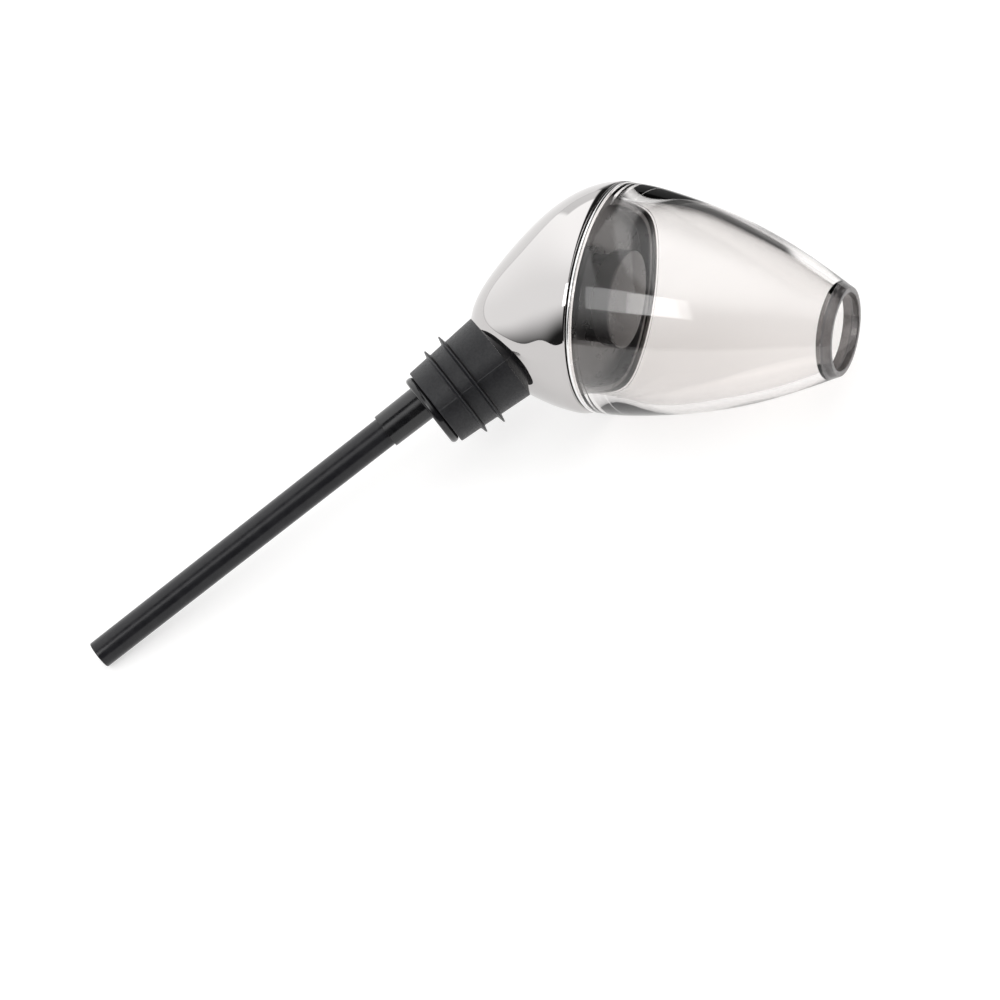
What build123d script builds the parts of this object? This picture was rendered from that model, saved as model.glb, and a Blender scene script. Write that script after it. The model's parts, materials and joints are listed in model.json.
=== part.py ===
from build123d import *
from math import comb, cos, hypot, radians, sin
import os

# Aerating wine pourer, lying on a table. Millimetres.
#
# Every piece is drawn in the pourer's own frame: the stopper's axis is Z, Z = 0 is where the
# stopper meets the chrome head, and the head leans over towards +X. The bell's pieces are drawn
# about an axis of their own, on which 0 is the seam between the head and the bell. At the end the
# whole pourer is turned onto its side, into the pose that it rests in on a flat surface.

# ---- the head and how it leans ----
LEAN = 52.0                       # between the stopper's axis and the bell's axis, degrees
SEAM_X = 5.05                     # centre of the seam circle
SEAM_Z = 24.8
SEAM_R = 23.3                     # the head and the bell meet at this radius
NECK_R = 9.7                      # the head where it sits on the stopper
SHELL_WALL = 1.3
SHELL_GAP = 0.05                  # between the shell's neck hole and the duct
NECK_FLOOR = 0.06                 # share of the elbow's turn that is left solid at the neck
DUCT_R = 7.6                      # black duct inside the head
DUCT_BORE_R = 6.03

# ---- the bell, along its own axis from the seam ----
BELL_END = 49.5
BELL_FOOT = 0.95                  # underside of the bell's shoulder
SKIRT_R = 21.3                    # skirt that reaches down inside the head
SKIRT_BORE_R = 20.3
SKIRT_DEPTH = 2.6
SKIRT_TOP = 1.5                   # inside the bell, where its wall starts to curve
LIP_START = 47.7                  # the dark lip ring starts here
LIP_END_R = 8.83
LIP_BORE_R = 7.75
LIP_SPIGOT_R = 8.35
LIP_SPIGOT_END = 46.2
LIP_GAP = 0.02                    # round the lip ring's spigot
BELL_WALL = 2.12                  # measured straight across from the bell's axis
BELL_LINE = ((22.2, 12.0), (19.55, 24.0), (15.35, 36.0))     # outside, between foot and mouth

# ---- the trim ring between the head and the bell ----
TRIM_START = 0.30
TRIM_END = 0.92
TRIM_GAP = 0.05                   # between it and the bell's skirt
TRIM_R = 23.05                    # centre of the bead's round edge

# ---- the cup that closes the head, and the spreader in it ----
CUP_R = 20.2
CUP_BORE_R = 18.9
CUP_DEPTH = 3.0
CUP_FLOOR = 2.0
CUP_FOOT_R = 20.7                 # thin foot that centres the cup in the shell
CUP_FOOT_HEIGHT = 1.2
SEAL_WIRE_R = 0.42
GROOVE_PLAY = 0.05                # a groove is this much wider each side than its O-ring
GROOVE_GAP = 0.02                 # and this much deeper
SEAL_AT = -1.5                    # O-ring under the bell's skirt
BELL_SEAL_R = SKIRT_BORE_R - 0.04 - SEAL_WIRE_R      # the ring stops just short of the skirt
SPREADER_R = 10.1
SPREADER_TOP = 3.0
SPREADER_RIM = -0.5
SPREADER_WALL = 1.2
SPREADER_EDGE = 0.4               # rounding of its top edge
SPREADER_LEG_R = 1.2
FEED_R = 4.4                      # hole that feeds wine up under the spreader

# ---- the stopper ----
SLEEVE_LENGTH = 16.5
SLEEVE_TOP_R = 9.7
SLEEVE_END_R = 8.57
FINS = ((-7.7, 10.86), (-11.7, 10.26))     # height and radius of each sealing fin
FIN_ROOT = 1.0
FIN_TIP = 0.3
FIN_START_R = 7.5                 # the fins' outlines start inside the cone
CORE_R = 6.5
SHOULDER_R = 8.6
SHOULDER_DEPTH = 1.4
FLANGE_R = 7.93
FLANGE_DEPTH = 1.7
SPIGOT_R = 6.0
SPIGOT_TOP = 9.0
FLANGE_EDGE = 0.71                # rounding of the end ring's edges
CHANNEL_R = 4.4                   # wine channel through the core
CORE_SEAL_AT = 5.0
CORE_SEAL_R = DUCT_BORE_R - 0.03 - SEAL_WIRE_R       # the ring stops just short of the duct

# ---- the air tube and its passage ----
TUBE_X = -2.8                     # the air passage is off centre, away from the lean
TUBE_END = -100.6
TUBE_TOP = -17.6
TUBE_R_TIP = 2.93
TUBE_R_TOP = 3.20
TUBE_BORE_R = 2.1
SOCKET_END = -27.4
SOCKET_R_END = 3.65
SOCKET_R_TOP = 3.77
SOCKET_BORE_R = 3.24
SOCKET_GAP = 0.1                  # past the tube's end in the socket
AIR_WALL_R = 3.75                 # column round the air passage inside the wine channel
AIR_BORE_R = 1.9
PIPE_R = 2.2
PIPE_BORE_R = 1.5
PIPE_START = 6.6
PIPE_GAP = 0.02                   # round the pipe in the core and in the cup
TIP_CHAMFER = 0.25

# ---- how the pourer lies ----
REST_ROLL = -104.5                # which side of the stopper's axis is up
REST_SLOPE = 10.4                 # the air tube's slope on the table

PAST = 1.0                        # cutters run on by this much past what they cut

STOPPER_AXIS = Vector(0, 0, 1)
BELL_AXIS = Vector(sin(radians(LEAN)), 0, cos(radians(LEAN)))
BELL_SIDE = Vector(cos(radians(LEAN)), 0, -sin(radians(LEAN)))
BELL_PLACE = Plane(origin=(SEAM_X, 0, SEAM_Z), x_dir=BELL_SIDE, z_dir=BELL_AXIS).location


def turned(outline):
    """A solid of revolution about Z from a closed outline of radius and height."""
    return revolve(Plane.XZ * make_face(outline), Axis.Z)


def rod(radius, low, high):
    """A plain cylinder about Z."""
    return Pos(0, 0, low) * extrude(Circle(radius), high - low)


def ring(outer, inner, low, high):
    """A plain ring about Z."""
    return Pos(0, 0, low) * extrude(Circle(outer) - Circle(inner), high - low)


def taper(radius_low, radius_high, low, high):
    """A plain cone frustum about Z."""
    return turned(Polyline((0, low), (radius_low, low), (radius_high, high), (0, high), close=True))


def bezier(u, values):
    """A Bezier curve's value at u, from 0 to 1."""
    n = len(values) - 1
    return sum(comb(n, i) * (1 - u) ** (n - i) * u**i * v for i, v in enumerate(values))


# The elbow's sections are circles in planes that all pass through one line, where the plane of
# the neck and the plane of the seam meet. Radius and distance from that line follow two curves.
TURN_X = SEAM_X + SEAM_Z / (sin(radians(LEAN)) / cos(radians(LEAN)))
SEAM_REACH = hypot(TURN_X - SEAM_X, SEAM_Z)
ELBOW_RADIUS = (NECK_R, 15.76, 15.31, 19.87, 23.5, SEAM_R)
ELBOW_REACH = (TURN_X, 24.11, 24.48, 26.93, 30.85, SEAM_REACH)
ELBOW_STEPS = (0.0, 0.03, 0.08, 0.16, 0.26, 0.36, 0.46, 0.56, 0.66, 0.76, 0.86, 0.94, 1.0)


def elbow_section(u, inset=0.0):
    """The head's outline circle at u of its turn, or a smaller one inside it."""
    turn = radians(LEAN * u)
    reach = bezier(u, ELBOW_REACH)
    centre = (TURN_X - reach * cos(turn), 0, reach * sin(turn))
    plane = Plane(origin=centre, x_dir=(cos(turn), 0, -sin(turn)), z_dir=(sin(turn), 0, cos(turn)))
    return plane * Circle(bezier(u, ELBOW_RADIUS) - inset)


def chrome_shell():
    """The polished elbow that turns the stopper's axis into the bell's."""
    outside = loft([elbow_section(u) for u in ELBOW_STEPS])
    inner_steps = [NECK_FLOOR + (1 - NECK_FLOOR) * u for u in ELBOW_STEPS]
    hollow = loft([elbow_section(u, SHELL_WALL) for u in inner_steps])
    neck_hole = extrude(Circle(DUCT_R + SHELL_GAP), SPIGOT_TOP)
    return outside - hollow - neck_hole


def bell_outline():
    """The bell's outer line from its shoulder to its mouth, as a smooth curve."""
    return Spline(
        (SEAM_R, BELL_FOOT),
        *BELL_LINE,
        (LIP_END_R, BELL_END),
        tangents=((0.02, 1.0), (-0.46, 0.89)),
    )


def bell_blank():
    """The bell and its lip ring as one full solid."""
    side = bell_outline()
    edges = [
        side,
        Line((LIP_END_R, BELL_END), (0, BELL_END)),
        Line((0, BELL_END), (0, BELL_FOOT)),
        Line((0, BELL_FOOT), (SEAM_R, BELL_FOOT)),
    ]
    return turned(edges)


def bell():
    """The clear smoke bell: an even wall, a skirt that enters the head, an open mouth."""
    hollow_edges = [
        Spline(
            (SKIRT_BORE_R, SKIRT_TOP),
            *[(radius - BELL_WALL, height) for radius, height in BELL_LINE],
            (LIP_SPIGOT_R, LIP_SPIGOT_END),
            tangents=((0.02, 1.0), (-0.44, 0.9)),
        ),
        Line((LIP_SPIGOT_R, LIP_SPIGOT_END), (0, LIP_SPIGOT_END)),
        Line((0, LIP_SPIGOT_END), (0, SKIRT_TOP)),
        Line((0, SKIRT_TOP), (SKIRT_BORE_R, SKIRT_TOP)),
    ]
    body = bell_blank() & rod(SEAM_R + PAST, BELL_FOOT - PAST, LIP_START)
    body += ring(SKIRT_R, SKIRT_BORE_R, -SKIRT_DEPTH, SKIRT_TOP)
    body -= rod(SKIRT_BORE_R, BELL_FOOT - PAST, SKIRT_TOP)
    body -= turned(hollow_edges)
    body -= rod(LIP_SPIGOT_R + LIP_GAP, LIP_SPIGOT_END, LIP_START + PAST)
    return BELL_PLACE * body


def pour_lip():
    """The dark ring in the mouth, flush with the bell outside."""
    collar = bell_blank() & rod(SEAM_R, LIP_START, BELL_END + PAST)
    spigot = ring(LIP_SPIGOT_R, LIP_BORE_R, LIP_SPIGOT_END, BELL_END)
    return BELL_PLACE * (collar + spigot - rod(LIP_BORE_R, 0, BELL_END + PAST))


def trim_ring():
    """The bright bead under the bell's shoulder."""
    middle = (TRIM_START + TRIM_END) / 2
    bead = (TRIM_END - TRIM_START) / 2
    body = ring(TRIM_R, SKIRT_R + TRIM_GAP, TRIM_START, TRIM_END)
    body += Pos(0, 0, middle) * Torus(TRIM_R, bead)
    return BELL_PLACE * body


def seal_groove(outer, seal_radius, height):
    """What is cut away to seat an O-ring whose wire's centre is at this radius and height."""
    half = SEAL_WIRE_R + GROOVE_PLAY
    return ring(outer, seal_radius - SEAL_WIRE_R - GROOVE_GAP, height - half, height + half)


def chamber_base():
    """The black cup under the bell, with the duct that comes down to the stopper."""
    floor_low = -CUP_DEPTH - CUP_FLOOR
    cup = rod(CUP_R, floor_low, 0) - rod(CUP_BORE_R, -CUP_DEPTH, PAST)
    cup -= seal_groove(CUP_R + PAST, BELL_SEAL_R, SEAL_AT)
    cup += ring(CUP_FOOT_R, CUP_BORE_R, floor_low, floor_low + CUP_FOOT_HEIGHT)
    above_floor = BELL_PLACE * rod(3 * SEAM_R, -CUP_DEPTH - CUP_FLOOR / 2, 4 * SEAM_R)
    duct = rod(DUCT_R, SHELL_GAP, 2 * SEAM_Z) - above_floor
    below_floor = BELL_PLACE * rod(3 * SEAM_R, -4 * SEAM_R, floor_low)
    bore = rod(DUCT_BORE_R, -PAST, 2 * SEAM_Z) & below_floor
    body = BELL_PLACE * cup + duct - bore
    body -= BELL_PLACE * rod(FEED_R, floor_low - PAST, PAST)
    body -= Pos(TUBE_X, 0, 0) * rod(PIPE_R + PIPE_GAP, 0, 2 * SEAM_Z)
    return body


def spreader_disc():
    """The small cap on three legs that spreads the wine over the cup."""
    cap = rod(SPREADER_R, SPREADER_RIM, SPREADER_TOP)
    cap -= rod(SPREADER_R - SPREADER_WALL, SPREADER_RIM - PAST, SPREADER_TOP - SPREADER_WALL)
    cap = fillet(cap.edges().group_by(Axis.Z)[-1], SPREADER_EDGE)
    for leg in PolarLocations(SPREADER_R - SPREADER_LEG_R, 3):
        cap += leg * rod(SPREADER_LEG_R, -CUP_DEPTH, SPREADER_TOP - SPREADER_WALL)
    return BELL_PLACE * cap


def bell_seal():
    """O-ring round the cup, inside the bell's skirt."""
    return BELL_PLACE * Pos(0, 0, SEAL_AT) * Torus(BELL_SEAL_R, SEAL_WIRE_R)


def stopper_sleeve():
    """The silicone cone with its two fins."""
    body = taper(SLEEVE_END_R, SLEEVE_TOP_R, -SLEEVE_LENGTH, 0)
    for height, radius in FINS:
        tip = height + FIN_ROOT / 2
        fin = Polyline(
            (FIN_START_R, height - FIN_ROOT / 2),
            (radius - FIN_TIP / 2, tip - FIN_TIP),
            (radius, tip),
            (radius - FIN_TIP / 2, tip + FIN_TIP / 3),
            (FIN_START_R, height + FIN_ROOT),
            close=True,
        )
        body += turned(fin)
    body -= rod(CORE_R, -SLEEVE_LENGTH - PAST, PAST)
    body -= rod(SHOULDER_R, -SHOULDER_DEPTH, PAST)
    return body


def stopper_core():
    """The rigid plug inside the sleeve, with the tube's socket and both passages."""
    flange = rod(FLANGE_R, -SLEEVE_LENGTH - FLANGE_DEPTH, -SLEEVE_LENGTH)
    flange = fillet(flange.edges(), FLANGE_EDGE)
    body = flange + rod(CORE_R, -SLEEVE_LENGTH - FLANGE_DEPTH / 2, 0)
    body += rod(SHOULDER_R, -SHOULDER_DEPTH, 0)
    body += rod(SPIGOT_R, 0, SPIGOT_TOP)
    body -= seal_groove(SPIGOT_R + PAST, CORE_SEAL_R, CORE_SEAL_AT)
    low = -SLEEVE_LENGTH - FLANGE_DEPTH - PAST
    high = SPIGOT_TOP + PAST
    air_column = Pos(TUBE_X, 0, 0)
    body -= rod(CHANNEL_R, low, high) - air_column * rod(AIR_WALL_R, low, high)
    body += air_column * taper(SOCKET_R_END, SOCKET_R_TOP, SOCKET_END, low + 2 * PAST)
    body -= air_column * rod(SOCKET_BORE_R, SOCKET_END - PAST, TUBE_TOP + SOCKET_GAP)
    body -= air_column * rod(AIR_BORE_R, TUBE_TOP - PAST, high)
    body -= air_column * rod(PIPE_R + PIPE_GAP, PIPE_START, high)
    return body


def core_seal():
    """O-ring round the core's spigot, inside the duct."""
    return Pos(0, 0, CORE_SEAL_AT) * Torus(CORE_SEAL_R, SEAL_WIRE_R)


def air_pipe():
    """The thin pipe that carries air up through the head to the cup's floor."""
    above_floor = BELL_PLACE * rod(3 * SEAM_R, -CUP_DEPTH, 4 * SEAM_R)
    return Pos(TUBE_X, 0, 0) * ring(PIPE_R, PIPE_BORE_R, PIPE_START, 2 * SEAM_Z) - above_floor


def air_tube():
    """The long tube that reaches down into the bottle."""
    body = taper(TUBE_R_TIP, TUBE_R_TOP, TUBE_END, TUBE_TOP)
    body = chamfer(body.edges().group_by(Axis.Z)[0], TIP_CHAMFER)
    body -= rod(TUBE_BORE_R, TUBE_END - PAST, TUBE_TOP + PAST)
    return Pos(TUBE_X, 0, 0) * body


NODES = {
    "air_tube": air_tube,
    "stopper_core": stopper_core,
    "stopper_sleeve": stopper_sleeve,
    "core_seal": core_seal,
    "air_pipe": air_pipe,
    "chrome_shell": chrome_shell,
    "chamber_base": chamber_base,
    "spreader_disc": spreader_disc,
    "bell_seal": bell_seal,
    "trim_ring": trim_ring,
    "bell": bell,
    "pour_lip": pour_lip,
}


def rest_plane():
    """A plane whose Z points up when the pourer lies at rest, and whose X follows the bell."""
    up = STOPPER_AXIS.rotate(Axis.Y, 90 - REST_SLOPE).rotate(Axis.Z, REST_ROLL)
    ahead = BELL_AXIS - up * BELL_AXIS.dot(up)
    return Plane(origin=(0, 0, 0), x_dir=ahead, z_dir=up)


def build():
    """All pieces, lying at rest, with the origin under the middle of the whole pourer."""
    table = rest_plane()
    pieces = {name: table.to_local_coords(make().solid()) for name, make in NODES.items()}
    box = Compound(list(pieces.values())).bounding_box()
    shift = Pos(-box.center().X, -box.center().Y, -box.min.Z)
    return {name: shift * piece for name, piece in pieces.items()}


os.makedirs("parts", exist_ok=True)
for node, shape in build().items():
    export_step(shape, f"parts/{node}.step")
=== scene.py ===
import json
from math import atan2, comb, cos, hypot, pi, radians, sin, tan

import bpy
import numpy as np
from mathutils import Matrix, Vector


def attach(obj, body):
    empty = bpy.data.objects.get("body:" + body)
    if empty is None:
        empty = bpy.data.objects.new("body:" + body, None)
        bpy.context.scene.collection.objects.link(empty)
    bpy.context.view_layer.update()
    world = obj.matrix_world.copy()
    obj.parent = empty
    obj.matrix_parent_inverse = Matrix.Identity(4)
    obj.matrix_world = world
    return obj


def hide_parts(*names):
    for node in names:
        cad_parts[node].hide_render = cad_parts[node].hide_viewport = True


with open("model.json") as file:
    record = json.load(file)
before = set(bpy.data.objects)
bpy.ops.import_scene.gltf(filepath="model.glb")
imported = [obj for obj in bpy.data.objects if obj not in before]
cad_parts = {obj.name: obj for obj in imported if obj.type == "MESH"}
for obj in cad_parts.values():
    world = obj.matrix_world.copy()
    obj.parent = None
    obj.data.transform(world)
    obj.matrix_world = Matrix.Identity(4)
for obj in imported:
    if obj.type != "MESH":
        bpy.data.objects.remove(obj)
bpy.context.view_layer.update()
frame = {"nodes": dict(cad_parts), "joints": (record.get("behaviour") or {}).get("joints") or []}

# Aerating wine pourer lying on a pale table, in soft studio light.
# Shapes are drawn in millimetres, in two frames that come from the joints: the stopper's, whose Z
# runs from the air tube up to the head, and the bell's, whose Z runs from the seam to the mouth.

MM = 0.001

# ---- sizes, in millimetres, as in the CAD model ----
SEAM_X = 5.05
SEAM_Z = 24.8
SEAM_R = 23.3
NECK_R = 9.7
SHELL_WALL = 1.3
NECK_FLOOR = 0.06
DUCT_HOLE_R = 7.65
BELL_FOOT = 0.95
BELL_END = 49.5
BELL_WALL = 2.12
BELL_LINE = ((22.2, 12.0), (19.55, 24.0), (15.35, 36.0))
SKIRT_R = 21.3
SKIRT_BORE_R = 20.3
SKIRT_DEPTH = 2.6
SKIRT_TOP = 1.5
LIP_START = 47.7
LIP_END_R = 8.83
LIP_BORE_R = 7.75
LIP_SPIGOT_R = 8.35
LIP_SPIGOT_END = 46.2
TRIM_START = 0.30
TRIM_END = 0.92
SLEEVE_LENGTH = 16.5
SLEEVE_TOP_R = 9.7
SLEEVE_END_R = 8.57
FINS = ((-11.7, 10.26), (-7.7, 10.86))
CORE_R = 6.5
SHOULDER_R = 8.6
SHOULDER_DEPTH = 1.4
TUBE_X = -2.8
TUBE_END = -100.6
TUBE_TOP = -17.6
TUBE_R_TIP = 2.93
TUBE_R_TOP = 3.20
TUBE_BORE_R = 2.1
DUCT_R = 7.6
DUCT_BORE_R = 6.03
CUP_R = 20.2
CUP_BORE_R = 18.9
CUP_DEPTH = 3.0
CUP_UNDERSIDE = -5.0
CUP_FOOT_R = 20.7
CUP_FOOT_TOP = -3.8
GROOVE_R = 19.40
GROOVE_LOW = -1.97
GROOVE_HIGH = -1.03
FEED_R = 4.4
DUCT_START = 0.05
DUCT_OVERLAP = 0.5                # how far the duct runs into the cup's floor
SPREADER_R = 10.1
SPREADER_RIM = -0.5
SPREADER_WALL = 1.2
SPREADER_LEG_R = 1.2
SPREADER_TOP = 3.0

TURNS = 256                       # points round a turned piece
AXIS_R = 0.02                     # where a face that closes on its axis stops

# ---- frames ----
JOINTS = {joint["name"]: joint for joint in frame["joints"]}
SEAM = Vector(JOINTS["bell_turn"]["pos_m"])
BELL_AXIS = Vector(JOINTS["bell_turn"]["axis"]).normalized()
STOPPER_AXIS = -Vector(JOINTS["tube_pull"]["axis"]).normalized()
LEAN = BELL_AXIS.angle(STOPPER_AXIS)
LEAN_SIDE = (BELL_AXIS - STOPPER_AXIS * cos(LEAN)).normalized()
BELL_SIDE = LEAN_SIDE * cos(LEAN) - STOPPER_AXIS * sin(LEAN)
NECK = SEAM - (LEAN_SIDE * SEAM_X + STOPPER_AXIS * SEAM_Z) * MM


def placement(side, axis, origin):
    """A matrix from millimetres in a frame with this X, Z and origin to metres in the row frame."""
    turn = Matrix((side, axis.cross(side), axis)).transposed().to_4x4()
    return Matrix.Translation(origin) @ turn @ Matrix.Scale(MM, 4)


STOPPER_PLACE = placement(LEAN_SIDE, STOPPER_AXIS, NECK)
BELL_PLACE = placement(BELL_SIDE, BELL_AXIS, SEAM)


# ---- outlines ----
def rounded(corners, steps=6):
    """An outline of radius and height in which each corner (r, z, rounding) is an arc."""
    line = []
    for i, (r, z, rounding) in enumerate(corners):
        here = Vector((r, z))
        if rounding == 0:
            line.append(here)
            continue
        back = (Vector(corners[i - 1][:2]) - here).normalized()
        ahead = (Vector(corners[(i + 1) % len(corners)][:2]) - here).normalized()
        half = back.angle(ahead) / 2
        centre = here + (back + ahead).normalized() * rounding / sin(half)
        start = here + back * rounding / tan(half) - centre
        end = here + ahead * rounding / tan(half) - centre
        sweep = start.angle_signed(end)
        for k in range(steps + 1):
            turned = start.copy()
            turned.rotate(Matrix.Rotation(-sweep * k / steps, 2))
            line.append(centre + turned)
    return line


def smooth_line(points, start, end, steps=16):
    """Points along a smooth curve through the given ones, with these end directions."""
    points = np.array(points)
    spans = np.linalg.norm(np.diff(points, axis=0), axis=1)
    count = len(points)
    system = np.zeros((count, count))
    sides = np.zeros((count, 2))
    system[0, 0] = system[-1, -1] = 1
    sides[0] = np.array(start) / hypot(*start)
    sides[-1] = np.array(end) / hypot(*end)
    for i in range(1, count - 1):
        before, after = spans[i - 1], spans[i]
        system[i, i - 1:i + 2] = after, 2 * (before + after), before
        rise = (points[i] - points[i - 1]) / before * after
        rise += (points[i + 1] - points[i]) / after * before
        sides[i] = 3 * rise
    slopes = np.linalg.solve(system, sides)
    line = []
    for i, span in enumerate(spans):
        for k in range(steps):
            t = k / steps
            line.append(
                points[i] * (1 + 2 * t) * (1 - t) ** 2
                + slopes[i] * span * t * (1 - t) ** 2
                + points[i + 1] * t * t * (3 - 2 * t)
                - slopes[i + 1] * span * t * t * (1 - t)
            )
    line.append(points[-1])
    return [Vector(p) for p in line]


def crossing(line, height):
    """The radius where a rising outline passes this height."""
    for low, high in zip(line, line[1:]):
        if low.y <= height <= high.y:
            return low.x + (high.x - low.x) * (height - low.y) / (high.y - low.y)
    raise ValueError("the outline doesn't reach this height")


# ---- meshes ----
def finish_mesh(name, vertices, faces, sharp=35):
    """A smooth-shaded object whose edges past this many degrees stay sharp."""
    mesh = bpy.data.meshes.new(name)
    mesh.from_pydata(vertices, [], faces)
    mesh.validate()
    mesh.shade_smooth()
    mesh.set_sharp_from_angle(angle=radians(sharp))
    piece = bpy.data.objects.new(name, mesh)
    bpy.context.scene.collection.objects.link(piece)
    return piece


def ring_faces(rings, count, outward=True):
    """Quads between each ring of points and the next, and from the last back to the first."""
    faces = []
    for i in range(rings):
        low, high = i * count, (i + 1) % rings * count
        for k in range(count):
            after = (k + 1) % count
            quad = (low + k, low + after, high + after, high + k)
            faces.append(quad if outward else quad[::-1])
    return faces


def turned_piece(name, outline, place, angles=None, swell=None, centre=0.0):
    """A turned solid: its outline runs up the outside and back down the inside."""
    if angles is None:
        angles = [2 * pi * k / TURNS for k in range(TURNS)]
    vertices = []
    for r, z in outline:
        for angle in angles:
            reach = r + (swell(angle, r) if swell else 0)
            vertices.append(place @ Vector((centre + reach * cos(angle), reach * sin(angle), z)))
    return finish_mesh(name, vertices, ring_faces(len(outline), len(angles)))


def bezier(u, values):
    """A Bezier curve's value at u, from 0 to 1."""
    n = len(values) - 1
    return sum(comb(n, i) * (1 - u) ** (n - i) * u**i * v for i, v in enumerate(values))


# The elbow's sections are circles in planes that all pass through one line, where the plane of
# the neck and the plane of the seam meet.
TURN_X = SEAM_X + SEAM_Z / tan(LEAN)
ELBOW_RADIUS = (NECK_R, 15.76, 15.31, 19.87, 23.5, SEAM_R)
ELBOW_REACH = (TURN_X, 24.11, 24.48, 26.93, 30.85, hypot(TURN_X - SEAM_X, SEAM_Z))
ELBOW_STEPS = 120
SHELL_EDGE = 0.14                 # rounding of the shell's rim at the seam
NECK_EDGE = 0.01                  # and at the neck


def elbow_circle(u, inset, angles):
    """Points of the head's section at u of its turn."""
    turn = LEAN * u
    reach = bezier(u, ELBOW_REACH)
    radius = bezier(u, ELBOW_RADIUS) - inset
    side = Vector((cos(turn), 0, -sin(turn)))
    centre = Vector((TURN_X - reach * cos(turn), 0, reach * sin(turn)))
    across = Vector((0, 1, 0))
    return [centre + side * radius * cos(a) + across * radius * sin(a) for a in angles]


def level_circle(place, radius, height, angles):
    """Points of a circle about a frame's own axis, in the stopper's frame."""
    return [place @ Vector((radius * cos(a), radius * sin(a), height)) for a in angles]


def chrome_shell():
    """The polished elbow: outside, seam rim, inside, floor, hole and neck rim."""
    angles = [2 * pi * k / TURNS for k in range(TURNS)]
    neck = Matrix.Identity(4)
    seam = STOPPER_PLACE.inverted() @ BELL_PLACE
    ends = 0.02                    # share of the turn that each rim's rounding takes
    rings = []
    for k in range(ELBOW_STEPS + 1):
        u = ends / 2 + (1 - 1.5 * ends) * k / ELBOW_STEPS
        rings.append(elbow_circle(u, 0, angles))
    for k in range(7):
        turn = pi / 2 * k / 6
        radius = SEAM_R - SHELL_EDGE * (1 - cos(turn))
        rings.append(level_circle(seam, radius, SHELL_EDGE * (sin(turn) - 1), angles))
    for k in range(7):
        turn = pi / 2 * k / 6
        radius = SEAM_R - SHELL_WALL + SHELL_EDGE * (1 - sin(turn))
        rings.append(level_circle(seam, radius, SHELL_EDGE * (cos(turn) - 1), angles))
    for k in range(41):
        u = 1 - ends - (1 - ends - NECK_FLOOR) * k / 40
        rings.append(elbow_circle(u, SHELL_WALL, angles))
    slope = tan(LEAN * NECK_FLOOR)
    hole = level_circle(neck, DUCT_HOLE_R, 0, angles)
    rings.append([Vector((p.x, p.y, (TURN_X - p.x) * slope)) for p in hole])
    rings.append(hole)
    for k in range(5):
        turn = pi / 2 * k / 4
        radius = NECK_R - NECK_EDGE * (1 - sin(turn))
        rings.append(level_circle(neck, radius, NECK_EDGE * (1 - cos(turn)), angles))
    vertices = [STOPPER_PLACE @ p for ring in rings for p in ring]
    return finish_mesh("polished_elbow", vertices, ring_faces(len(rings), TURNS))


OUTER_LINE = smooth_line(
    [(SEAM_R, BELL_FOOT), *BELL_LINE, (LIP_END_R, BELL_END)],
    start=(0.02, 1.0),
    end=(-0.46, 0.89),
)
INNER_LINE = smooth_line(
    [(SKIRT_BORE_R, SKIRT_TOP)]
    + [(r - BELL_WALL, z) for r, z in BELL_LINE]
    + [(LIP_SPIGOT_R, LIP_SPIGOT_END)],
    start=(0.02, 1.0),
    end=(-0.44, 0.9),
)


def bell():
    """The clear bell: an even wall, a skirt that enters the head, a seat for the lip ring."""
    edge = 0.12
    top = crossing(OUTER_LINE, LIP_START)
    outside = [p for p in OUTER_LINE if BELL_FOOT + 2 * edge < p.y < LIP_START - 2 * edge]
    corners = [(SKIRT_R, BELL_FOOT, 0), (SEAM_R, BELL_FOOT, edge)]
    corners += [(p.x, p.y, 0) for p in outside]
    corners += [(top, LIP_START, edge / 2), (LIP_SPIGOT_R + 0.02, LIP_START, edge / 3)]
    corners += [(LIP_SPIGOT_R + 0.02, LIP_SPIGOT_END, 0)]
    corners += [(p.x, p.y, 0) for p in reversed(INNER_LINE)]
    corners += [(SKIRT_BORE_R, -SKIRT_DEPTH, edge), (SKIRT_R, -SKIRT_DEPTH, edge)]
    return turned_piece("smoke_bell", rounded(corners), BELL_PLACE)


def pour_lip():
    """The dark ring in the bell's mouth."""
    gap = 0.02
    low = LIP_START + gap
    outside = [p for p in OUTER_LINE if low + 0.1 < p.y < BELL_END - 0.3]
    corners = [(LIP_SPIGOT_R, low, 0), (crossing(OUTER_LINE, low), low, 0.05)]
    corners += [(p.x, p.y, 0) for p in outside]
    corners += [(LIP_END_R, BELL_END, 0.22), (LIP_BORE_R, BELL_END, 0.18)]
    corners += [(LIP_BORE_R, LIP_SPIGOT_END, 0.1), (LIP_SPIGOT_R, LIP_SPIGOT_END, 0.1)]
    return turned_piece("mouth_ring", rounded(corners), BELL_PLACE)


def trim_ring():
    """The bright bead under the bell's shoulder."""
    bead = (TRIM_END - TRIM_START) / 2
    corners = [(SKIRT_R + 0.05, TRIM_START, 0.05)]
    corners += [(SEAM_R - 0.25 + bead, TRIM_START, bead * 0.98)]
    corners += [(SEAM_R - 0.25 + bead, TRIM_END, bead * 0.98)]
    corners += [(SKIRT_R + 0.05, TRIM_END, 0.05)]
    return turned_piece("bright_bead", rounded(corners, 10), BELL_PLACE)


# ---- the stopper's sleeve, with a fine parting line down each side ----
PARTING_ANGLES = (radians(129), radians(309))
PARTING_WIDTH = 0.11
PARTING_HEIGHT = 0.05


def sleeve_radius(height):
    """The sleeve's cone at this height."""
    return SLEEVE_TOP_R + (SLEEVE_TOP_R - SLEEVE_END_R) * height / SLEEVE_LENGTH


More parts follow.
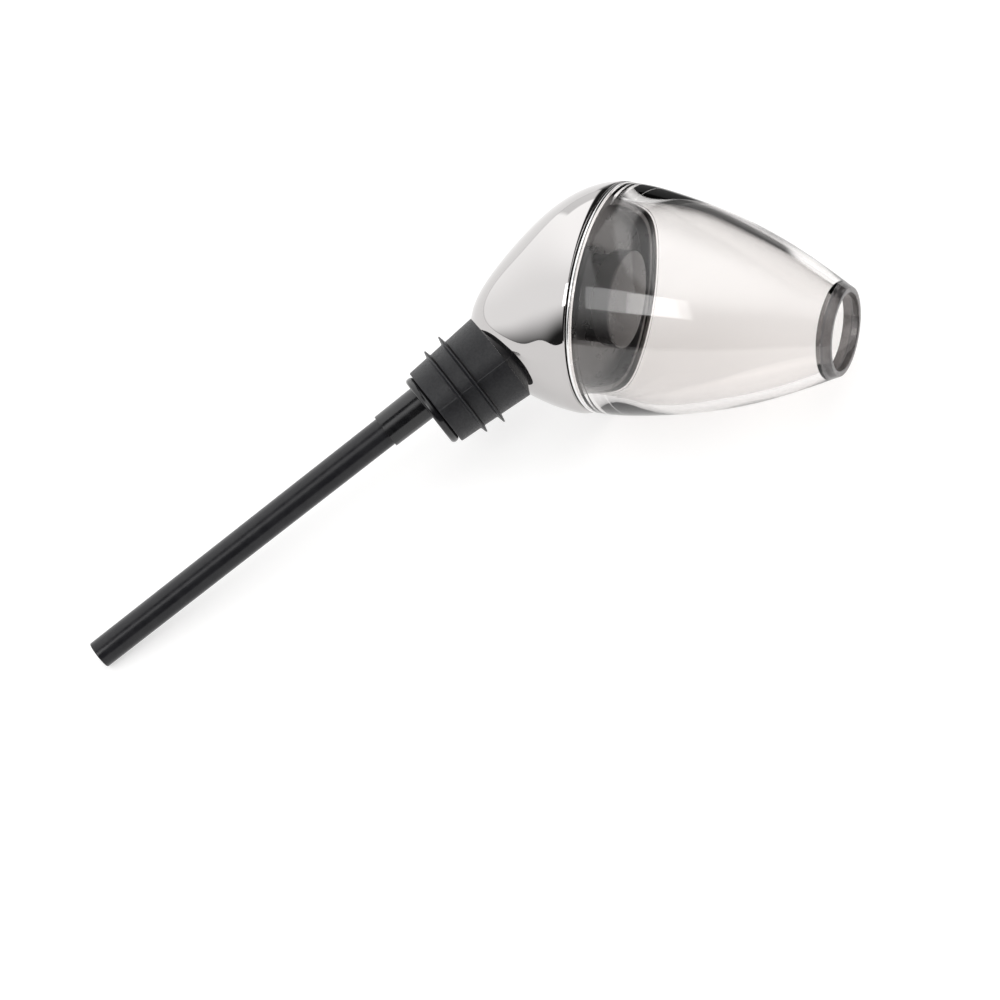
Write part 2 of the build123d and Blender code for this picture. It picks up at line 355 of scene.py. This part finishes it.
def parting_ridge(angle, radius):
    """How far the parting line stands out at this angle."""
    if radius < CORE_R + 0.5:
        return 0
    nearest = min(abs(atan2(sin(angle - line), cos(angle - line))) for line in PARTING_ANGLES)
    return PARTING_HEIGHT * max(0, 1 - nearest * radius / PARTING_WIDTH)


def sleeve_angles():
    """Even angles round the sleeve, with more close to each parting line."""
    angles = [2 * pi * k / TURNS for k in range(TURNS)]
    for line in PARTING_ANGLES:
        angles += [line + k * PARTING_WIDTH / SLEEVE_TOP_R / 3 for k in range(-3, 4)]
    return sorted(angles)


def stopper_sleeve():
    """The silicone cone with its two swept fins."""
    corners = [(SLEEVE_END_R, -SLEEVE_LENGTH, 0.3)]
    for height, radius in FINS:
        corners += [
            (sleeve_radius(height) - 0.02, height - 0.15, 0.25),
            (radius - 0.12, height + 0.2, 0.12),
            (radius, height + 0.48, 0.1),
            (sleeve_radius(height) + 0.02, height + 0.82, 0.15),
        ]
    corners += [(SLEEVE_TOP_R, 0, 0), (SHOULDER_R, 0, 0), (SHOULDER_R, -SHOULDER_DEPTH, 0)]
    corners += [(CORE_R, -SHOULDER_DEPTH, 0), (CORE_R, -SLEEVE_LENGTH, 0.15)]
    outline = rounded(corners)
    return turned_piece("finned_sleeve", outline, STOPPER_PLACE, sleeve_angles(), parting_ridge)


def air_tube():
    """The long drafted tube, its tip edges eased."""
    corners = [(TUBE_R_TIP, TUBE_END, 0.28)]
    steps = 24                    # rings that keep the shading even along the tube
    for k in range(1, steps):
        share = k / steps
        height = TUBE_END + (TUBE_TOP - TUBE_END) * share
        corners.append((TUBE_R_TIP + (TUBE_R_TOP - TUBE_R_TIP) * share, height, 0))
    corners += [(TUBE_R_TOP, TUBE_TOP, 0.1), (TUBE_BORE_R, TUBE_TOP, 0.05)]
    corners += [(TUBE_BORE_R, TUBE_END, 0.2)]
    return turned_piece("long_air_tube", rounded(corners), STOPPER_PLACE, centre=TUBE_X)


def cup():
    """The black cup under the bell, with the groove for the bell's seal."""
    corners = [(FEED_R, CUP_UNDERSIDE, 0), (CUP_FOOT_R, CUP_UNDERSIDE, 0.1)]
    corners += [(CUP_FOOT_R, CUP_FOOT_TOP, 0.1), (CUP_R, CUP_FOOT_TOP, 0)]
    corners += [(CUP_R, GROOVE_LOW, 0), (GROOVE_R, GROOVE_LOW, 0)]
    corners += [(GROOVE_R, GROOVE_HIGH, 0), (CUP_R, GROOVE_HIGH, 0)]
    corners += [(CUP_R, 0, 0.12), (CUP_BORE_R, 0, 0.12)]
    corners += [(CUP_BORE_R, -CUP_DEPTH, 0.3), (FEED_R, -CUP_DEPTH, 0.2)]
    return turned_piece("black_cup", rounded(corners), BELL_PLACE)


def duct():
    """The duct from the stopper's core up to the cup's floor."""
    angles = [2 * pi * k / TURNS for k in range(TURNS)]
    vertices = []
    top = CUP_UNDERSIDE + DUCT_OVERLAP
    walls = ((DUCT_R, False), (DUCT_R, True), (DUCT_BORE_R, True), (DUCT_BORE_R, False))
    for radius, at_cup in walls:
        for a in angles:
            x, y = radius * cos(a), radius * sin(a)
            cup_height = SEAM_Z + (top - (x - SEAM_X) * sin(LEAN)) / cos(LEAN)
            height = cup_height if at_cup else DUCT_START
            vertices.append(STOPPER_PLACE @ Vector((x, y, height)))
    return finish_mesh("cup_duct", vertices, ring_faces(4, TURNS))


def spreader():
    """The cap that spreads the wine over the cup."""
    bore = SPREADER_R - SPREADER_WALL
    corners = [(bore, SPREADER_RIM, 0.1), (SPREADER_R, SPREADER_RIM, 0.1)]
    corners += [(SPREADER_R, SPREADER_TOP, 0.4), (AXIS_R, SPREADER_TOP, 0)]
    ceiling = SPREADER_TOP - SPREADER_WALL
    corners += [(AXIS_R, ceiling, 0), (bore, ceiling, 0)]
    return turned_piece("spreader_cap", rounded(corners), BELL_PLACE)


def spreader_leg(turn):
    """One of the three legs that hold the spreader over the cup's floor."""
    out = SPREADER_R - SPREADER_LEG_R
    foot = BELL_PLACE @ Matrix.Translation((out * cos(turn), out * sin(turn), 0))
    top = SPREADER_TOP - SPREADER_WALL + 0.2             # it ends inside the cap
    corners = [(AXIS_R, -CUP_DEPTH, 0), (SPREADER_LEG_R, -CUP_DEPTH, 0)]
    corners += [(SPREADER_LEG_R, top, 0), (AXIS_R, top, 0)]
    return turned_piece(f"spreader_leg_{round(turn)}", rounded(corners), foot)


def gate_mark():
    """The small moulding mark in the middle of the spreader's top."""
    corners = [(0.05, SPREADER_TOP - 0.1, 0), (0.75, SPREADER_TOP - 0.1, 0)]
    corners += [(0.62, SPREADER_TOP + 0.07, 0.04), (0.42, SPREADER_TOP + 0.03, 0.03)]
    corners += [(0.05, SPREADER_TOP + 0.03, 0)]
    return turned_piece("spreader_gate_mark", rounded(corners, 4), BELL_PLACE)


# ---- materials ----
def math_node(tree, operation, first, second):
    """The result of one Math node on two values, each a number or a socket."""
    node = tree.nodes.new("ShaderNodeMath")
    node.operation = operation
    for socket, value in zip(node.inputs, (first, second)):
        if isinstance(value, (int, float)):
            socket.default_value = value
        else:
            tree.links.new(value, socket)
    return node.outputs["Value"]


class Finish:
    """A procedural material: one Principled shader and the nodes that feed it."""

    def __init__(self, name, colour, roughness, **sockets):
        self.material = bpy.data.materials.new(name)
        self.material.use_nodes = True
        self.tree = self.material.node_tree
        self.shader = self.tree.nodes["Principled BSDF"]
        self.shader.inputs["Base Color"].default_value = (*colour, 1)
        self.shader.inputs["Roughness"].default_value = roughness
        for socket, value in sockets.items():
            self.shader.inputs[socket.replace("_", " ")].default_value = value
        self.place = self.tree.nodes.new("ShaderNodeTexCoord").outputs["Object"]

    def noise(self, size, detail):
        """Noise whose features are about this many millimetres across."""
        noise = self.tree.nodes.new("ShaderNodeTexNoise")
        noise.inputs["Scale"].default_value = 1 / (size * MM)
        noise.inputs["Detail"].default_value = detail
        self.tree.links.new(self.place, noise.inputs["Vector"])
        return noise.outputs["Fac"]

    def vary_roughness(self, size, low, high, detail=3.0):
        """Lets the roughness drift between two values, as handling leaves it."""
        span = self.tree.nodes.new("ShaderNodeMapRange")
        span.inputs["From Min"].default_value = 0.3
        span.inputs["From Max"].default_value = 0.7
        span.inputs["To Min"].default_value = low
        span.inputs["To Max"].default_value = high
        self.tree.links.new(self.noise(size, detail), span.inputs["Value"])
        self.tree.links.new(span.outputs["Result"], self.shader.inputs["Roughness"])

    def vary_colour(self, size, dark, light):
        """Lets the colour drift between two shades."""
        ramp = self.tree.nodes.new("ShaderNodeValToRGB")
        ramp.color_ramp.elements[0].position = 0.35
        ramp.color_ramp.elements[0].color = (*dark, 1)
        ramp.color_ramp.elements[1].position = 0.65
        ramp.color_ramp.elements[1].color = (*light, 1)
        self.tree.links.new(self.noise(size, 3.0), ramp.inputs["Fac"])
        self.tree.links.new(ramp.outputs["Color"], self.shader.inputs["Base Color"])

    def tint_by_facing(self, face_on, edge_on, start):
        """Deepens the colour from this share of the way to grazing onwards."""
        weight = self.tree.nodes.new("ShaderNodeLayerWeight")
        weight.inputs["Blend"].default_value = 0.5
        ramp = self.tree.nodes.new("ShaderNodeValToRGB")
        ramp.color_ramp.interpolation = "EASE"
        ramp.color_ramp.elements[0].position = start
        ramp.color_ramp.elements[0].color = (*face_on, 1)
        ramp.color_ramp.elements[1].position = 0.97
        ramp.color_ramp.elements[1].color = (*edge_on, 1)
        self.tree.links.new(weight.outputs["Facing"], ramp.inputs["Fac"])
        self.tree.links.new(ramp.outputs["Color"], self.shader.inputs["Base Color"])

    def let_light_through(self, tint):
        """Lets shadow rays and blurred bounces straight through the piece, only tinted."""
        clear = self.tree.nodes.new("ShaderNodeBsdfTransparent")
        clear.inputs["Color"].default_value = (*tint, 1)
        path = self.tree.nodes.new("ShaderNodeLightPath").outputs
        blurred = math_node(
            self.tree, "SUBTRACT", path["Is Glossy Ray"], path["Is Singular Ray"]
        )
        scattered = math_node(
            self.tree, "MAXIMUM", path["Is Shadow Ray"], path["Is Diffuse Ray"]
        )
        lighting = math_node(self.tree, "MAXIMUM", scattered, blurred)
        mix = self.tree.nodes.new("ShaderNodeMixShader")
        self.tree.links.new(lighting, mix.inputs["Fac"])
        self.tree.links.new(self.shader.outputs["BSDF"], mix.inputs[1])
        self.tree.links.new(clear.outputs["BSDF"], mix.inputs[2])
        output = self.tree.nodes["Material Output"]
        self.tree.links.new(mix.outputs["Shader"], output.inputs["Surface"])

    def bump(self, *layers):
        """Surface relief: each layer is (feature size, depth) in millimetres."""
        normal = None
        for size, depth in layers:
            bump = self.tree.nodes.new("ShaderNodeBump")
            bump.inputs["Distance"].default_value = depth * MM
            self.tree.links.new(self.noise(size, 1.0), bump.inputs["Height"])
            if normal:
                self.tree.links.new(normal, bump.inputs["Normal"])
            normal = bump.outputs["Normal"]
        self.tree.links.new(normal, self.shader.inputs["Normal"])


def glossy_black_tube():
    """Moulded black tube, glossy, with the faintest draw marks."""
    finish = Finish("glossy_black_tube", (0.016, 0.016, 0.018), 0.2, Specular_IOR_Level=0.3)
    finish.vary_colour(2.5, (0.013, 0.013, 0.015), (0.019, 0.019, 0.021))
    finish.vary_roughness(1.2, 0.16, 0.26)
    finish.bump((1.6, 0.004))
    return finish.material


def glossy_black_core():
    """Hard black plug inside the sleeve."""
    finish = Finish("glossy_black_core", (0.010, 0.010, 0.011), 0.12, Specular_IOR_Level=0.5)
    finish.vary_colour(2.0, (0.008, 0.008, 0.009), (0.014, 0.014, 0.015))
    finish.vary_roughness(1.0, 0.10, 0.20)
    finish.bump((0.8, 0.003))
    return finish.material


def black_silicone():
    """Satin black silicone with a fine sparkling grain."""
    finish = Finish("black_silicone", (0.014, 0.014, 0.016), 0.45, Specular_IOR_Level=0.34)
    finish.vary_colour(0.5, (0.010, 0.010, 0.012), (0.018, 0.018, 0.020))
    finish.vary_roughness(0.30, 0.30, 0.55)
    finish.bump((0.13, 0.035), (0.9, 0.015))
    return finish.material


def seal_rubber():
    """Dull black O-ring rubber."""
    finish = Finish("seal_rubber", (0.02, 0.02, 0.02), 0.7)
    finish.vary_roughness(0.3, 0.6, 0.8)
    finish.bump((0.1, 0.01))
    return finish.material


def chrome_plate():
    """Bright plating with a trace of handling haze and a faint ripple in its polish."""
    finish = Finish("chrome_plate", (0.53, 0.515, 0.51), 0.03, Metallic=1.0)
    finish.vary_roughness(6.0, 0.015, 0.05, 4.0)
    finish.bump((9.0, 0.0015))
    return finish.material


def bead_chrome():
    """The brighter bead in the seam."""
    finish = Finish("bead_chrome", (0.86, 0.86, 0.86), 0.14, Metallic=1.0)
    finish.vary_roughness(2.0, 0.10, 0.20)
    finish.bump((1.0, 0.003))
    return finish.material


def cup_black():
    """Moulded black cup, half gloss."""
    finish = Finish("cup_black", (0.055, 0.054, 0.055), 0.3)
    finish.vary_colour(1.5, (0.050, 0.049, 0.050), (0.060, 0.059, 0.060))
    finish.vary_roughness(3.0, 0.26, 0.34)
    return finish.material


def disc_black():
    """Moulded black spreader, half gloss."""
    finish = Finish("disc_black", (0.035, 0.034, 0.035), 0.3)
    finish.vary_colour(1.2, (0.032, 0.031, 0.032), (0.040, 0.039, 0.040))
    finish.vary_roughness(3.0, 0.2, 0.28)
    return finish.material


def smoke_clear():
    """Clear plastic with a light smoke tint, which gathers where the wall is seen edge on."""
    tint = (0.946, 0.929, 0.919)
    finish = Finish(
        "smoke_clear", tint, 0.0, Transmission_Weight=1.0, IOR=1.49
    )
    finish.tint_by_facing(tint, (0.50, 0.48, 0.475), 0.45)
    finish.let_light_through(tint)
    return finish.material


def dark_lip():
    """Deep smoke lip ring, glossy and a little translucent."""
    finish = Finish("dark_lip", (0.22, 0.21, 0.21), 0.05, Transmission_Weight=0.75, IOR=1.49)
    finish.vary_colour(1.5, (0.19, 0.18, 0.18), (0.26, 0.25, 0.25))
    finish.vary_roughness(1.0, 0.03, 0.09)
    return finish.material


def dress(piece, material):
    """Gives a piece one material all over."""
    piece.data.materials.clear()
    piece.data.materials.append(material)


def stand_for(piece, node, body, material):
    """Puts a mesh in place of a CAD node, on the node's body and with its finish."""
    dress(piece, material)
    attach(piece, body)
    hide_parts(node)


CHROME = chrome_plate()
DISC = disc_black()
stand_for(air_tube(), "air_tube", "tube", glossy_black_tube())
stand_for(stopper_sleeve(), "stopper_sleeve", "head", black_silicone())
stand_for(chrome_shell(), "chrome_shell", "head", CHROME)
stand_for(trim_ring(), "trim_ring", "trim", bead_chrome())
stand_for(bell(), "bell", "bell", smoke_clear())
stand_for(pour_lip(), "pour_lip", "bell", dark_lip())

CUP = cup_black()
stand_for(cup(), "chamber_base", "head", CUP)
stand_for(spreader(), "spreader_disc", "head", DISC)

extras = [(duct(), CUP, "black_cup"), (gate_mark(), DISC, "black_disc")]
extras += [(spreader_leg(2 * pi * k / 3), DISC, "black_disc") for k in range(3)]
for piece, material, slot in extras:
    dress(piece, material)
    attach(piece, "head")

SEAL = seal_rubber()
CORE = glossy_black_core()
CAD_FINISHES = {
    "stopper_core": CORE,
    "air_pipe": CORE,
    "core_seal": SEAL,
    "bell_seal": SEAL,
}
for node, material in CAD_FINISHES.items():
    dress(frame["nodes"][node], material)


def toward(azimuth, elevation):
    """The direction at this azimuth and elevation in degrees."""
    flat = cos(radians(elevation))
    return Vector((
        flat * cos(radians(azimuth)),
        flat * sin(radians(azimuth)),
        sin(radians(elevation)),
    ))


class Field:
    """Brightness worked out from a vector, by nodes in one tree."""

    def __init__(self, tree, vector):
        self.tree = tree
        self.vector = vector

    def along(self, axis):
        """How far the vector runs along this axis."""
        dot = self.tree.nodes.new("ShaderNodeVectorMath")
        dot.operation = "DOT_PRODUCT"
        self.tree.links.new(self.vector, dot.inputs[0])
        dot.inputs[1].default_value = axis
        return dot.outputs["Value"]

    def ramp(self, value, start, end, low, high):
        """A smooth step from low to high as value goes from start to end."""
        span = self.tree.nodes.new("ShaderNodeMapRange")
        span.interpolation_type = "SMOOTHSTEP"
        span.inputs["From Min"].default_value = start
        span.inputs["From Max"].default_value = end
        span.inputs["To Min"].default_value = low
        span.inputs["To Max"].default_value = high
        self.tree.links.new(value, span.inputs["Value"])
        return span.outputs["Result"]

    def join(self, operation, first, second):
        """One Math node on two values."""
        return math_node(self.tree, operation, first, second)


# ---- floor ----
FLOOR_REACH = 4.0                 # metres from the middle to each side
FLOOR_ALBEDO = 0.50
FLOOR_GLOW = 0.62
BELL_ON_FLOOR = (0.035, 0.04, 0)  # under the middle of the bell
# painted shade: a wedge of the floor behind the bell is darker in colour and glow, for all rays but
# camera rays
SHADE_AZIMUTH = 103
SHADE_START, SHADE_FULL = 0.06, 0.10       # metres from the bell where the painted shade fades in
SHADE_INNER, SHADE_OUTER = 0.25, 0.35      # its half width for each metre of distance
SHADE_DARKNESS = 0.9


def floor():
    """A wide pale table top, lit from within as well, so that shadows on it stay faint.

    A wedge of painted shade darkens the floor's colour and glow behind the bell, for all rays but
    camera rays, so it is seen only in reflections and through the bell's edge.
    """
    corners = [(-FLOOR_REACH, -FLOOR_REACH, 0), (FLOOR_REACH, -FLOOR_REACH, 0)]
    corners += [(FLOOR_REACH, FLOOR_REACH, 0), (-FLOOR_REACH, FLOOR_REACH, 0)]
    piece = finish_mesh("table_top", corners, [(0, 1, 2, 3)])
    finish = Finish("table_white", (FLOOR_ALBEDO,) * 3, 0.8, Specular_IOR_Level=0.0)
    finish.shader.inputs["Emission Color"].default_value = (1.0, 0.995, 0.99, 1)
    from_bell = finish.tree.nodes.new("ShaderNodeVectorMath")
    from_bell.operation = "SUBTRACT"
    finish.tree.links.new(finish.place, from_bell.inputs[0])
    from_bell.inputs[1].default_value = BELL_ON_FLOOR
    field = Field(finish.tree, from_bell.outputs["Vector"])
    # painted shade: the floor's colour and glow are darkened in a wedge behind the bell, except for
    # camera rays
    depth = field.along(toward(SHADE_AZIMUTH, 0))
    offset = field.join("ABSOLUTE", field.along(toward(SHADE_AZIMUTH + 90, 0)), 0)
    slant = field.join("DIVIDE", offset, depth)
    painted_shade = field.ramp(depth, SHADE_START, SHADE_FULL, 0, SHADE_DARKNESS)
    painted_shade = field.join("MULTIPLY", painted_shade, field.ramp(slant, SHADE_INNER, SHADE_OUTER, 1, 0))
    from_camera = finish.tree.nodes.new("ShaderNodeLightPath").outputs["Is Camera Ray"]
    painted_shade = field.join("MULTIPLY", painted_shade, field.join("SUBTRACT", 1, from_camera))
    unshaded = field.join("SUBTRACT", 1, painted_shade)
    glow = field.join("MULTIPLY", unshaded, FLOOR_GLOW)
    finish.tree.links.new(glow, finish.shader.inputs["Emission Strength"])
    albedo = field.join("MULTIPLY", unshaded, FLOOR_ALBEDO)
    finish.tree.links.new(albedo, finish.shader.inputs["Base Color"])
    dress(piece, finish.material)


floor()


# ---- studio ----
class Studio(Field):
    """A dark room with large soft lights, as seen by light that reaches the object."""

    def __init__(self):
        world = bpy.data.worlds.new("studio")
        bpy.context.scene.world = world
        world.use_nodes = True
        tree = world.node_tree
        tree.nodes.clear()
        super().__init__(tree, tree.nodes.new("ShaderNodeTexCoord").outputs["Generated"])

    def window(self, azimuth, elevation, half_width, half_height, edge, strength):
        """A rectangular soft light facing the object, its sizes in degrees."""
        ahead = toward(azimuth, elevation)
        side = Vector((0, 0, 1)).cross(ahead).normalized()
        upright = ahead.cross(side)
        depth = self.along(ahead)
        light = self.ramp(depth, 0.3, 0.5, 0, strength)
        for axis, half in ((side, half_width), (upright, half_height)):
            offset = self.join("DIVIDE", self.along(axis), depth)
            offset = self.join("ABSOLUTE", offset, 0)
            inner, outer = tan(radians(half - edge)), tan(radians(half + edge))
            light = self.join("MULTIPLY", light, self.ramp(offset, inner, outer, 1, 0))
        return light

    def show(self, light, backdrop):
        """Lights the scene with light, while the camera itself sees a plain pale backdrop."""
        room = self.tree.nodes.new("ShaderNodeBackground")
        self.tree.links.new(light, room.inputs["Strength"])
        room.inputs["Color"].default_value = (1, 1, 1, 1)
        plain = self.tree.nodes.new("ShaderNodeBackground")
        plain.inputs["Color"].default_value = (backdrop, backdrop, backdrop, 1)
        path = self.tree.nodes.new("ShaderNodeLightPath")
        mix = self.tree.nodes.new("ShaderNodeMixShader")
        self.tree.links.new(path.outputs["Is Camera Ray"], mix.inputs["Fac"])
        self.tree.links.new(room.outputs["Background"], mix.inputs[1])
        self.tree.links.new(plain.outputs["Background"], mix.inputs[2])
        output = self.tree.nodes.new("ShaderNodeOutputWorld")
        self.tree.links.new(mix.outputs["Shader"], output.inputs["Surface"])


BACKDROP = 0.95
ROOM = 0.02                       # what the dark room gives back


def tall_light(studio, left, height):
    """The softbox on the left. It fades towards the front and stands on a dim skirting."""
    fade = studio.along(Vector((0.0, 1.0, 0.8)))
    tall = studio.ramp(fade, -0.85, -0.2, 0.0, 1.3)
    tall = studio.join("ADD", tall, studio.ramp(fade, 0.1, 1.0, 0.0, 0.4))
    tall = studio.join("MULTIPLY", tall, studio.ramp(left, 0.215, 0.25, 0, 1))
    tall = studio.join("MULTIPLY", tall, studio.ramp(height, 0.0, 0.03, 0.7, 1))
    flag = studio.window(
        azimuth=124, elevation=9, half_width=14, half_height=9, edge=1.5, strength=0.4
    )
    return studio.join("MULTIPLY", tall, studio.join("SUBTRACT", 1, flag))


def studio_light():
    """A tall soft light on the left, a glow overhead, a window light in front, a dark room."""
    studio = Studio()
    left = studio.along(Vector((-1.0, -0.25, 0.0)).normalized())
    height = studio.along(Vector((0, 0, 1)))
    tall = tall_light(studio, left, height)
    glow = studio.ramp(height, 0.60, 0.95, 0.0, 2.0)
    glow = studio.join("MULTIPLY", glow, studio.ramp(left, 0.0, 0.05, 1, 0))
    window = studio.window(
        azimuth=-88.5, elevation=46.5, half_width=13.5, half_height=10.5, edge=1.2, strength=4.5
    )
    light = studio.join("MAXIMUM", studio.join("MAXIMUM", tall, glow), window)
    studio.show(studio.join("ADD", light, ROOM), BACKDROP)


studio_light()


# ---- camera ----
CAMERA_AZIMUTH = -50.54
CAMERA_ELEVATION = 44.79
CAMERA_ROLL = -23.26
CAMERA_DISTANCE = 0.6745
CAMERA_LENS = 120.96
CAMERA_AIM = Vector((0.00215, -0.00321, 0.00158))


def camera():
    """A long lens from the front left, rolled so that the tube lies along the diagonal."""
    back = toward(CAMERA_AZIMUTH, CAMERA_ELEVATION)
    level = Vector((0, 0, 1)).cross(back).normalized()
    upright = back.cross(level)
    roll = radians(CAMERA_ROLL)
    right = level * cos(roll) + upright * sin(roll)
    up = upright * cos(roll) - level * sin(roll)
    data = bpy.data.cameras.new("camera")
    data.lens = CAMERA_LENS
    data.sensor_width = 36
    data.clip_start = 0.01
    view = bpy.data.objects.new("camera", data)
    bpy.context.scene.collection.objects.link(view)
    turn = Matrix((right, up, back)).transposed().to_4x4()
    view.matrix_world = Matrix.Translation(CAMERA_AIM + back * CAMERA_DISTANCE) @ turn
    bpy.context.scene.camera = view


camera()
bpy.context.scene.view_settings.view_transform = "Standard"


def plain(box):
    """A box's corners as plain numbers."""
    return [[float(x) for x in corner] for corner in box]
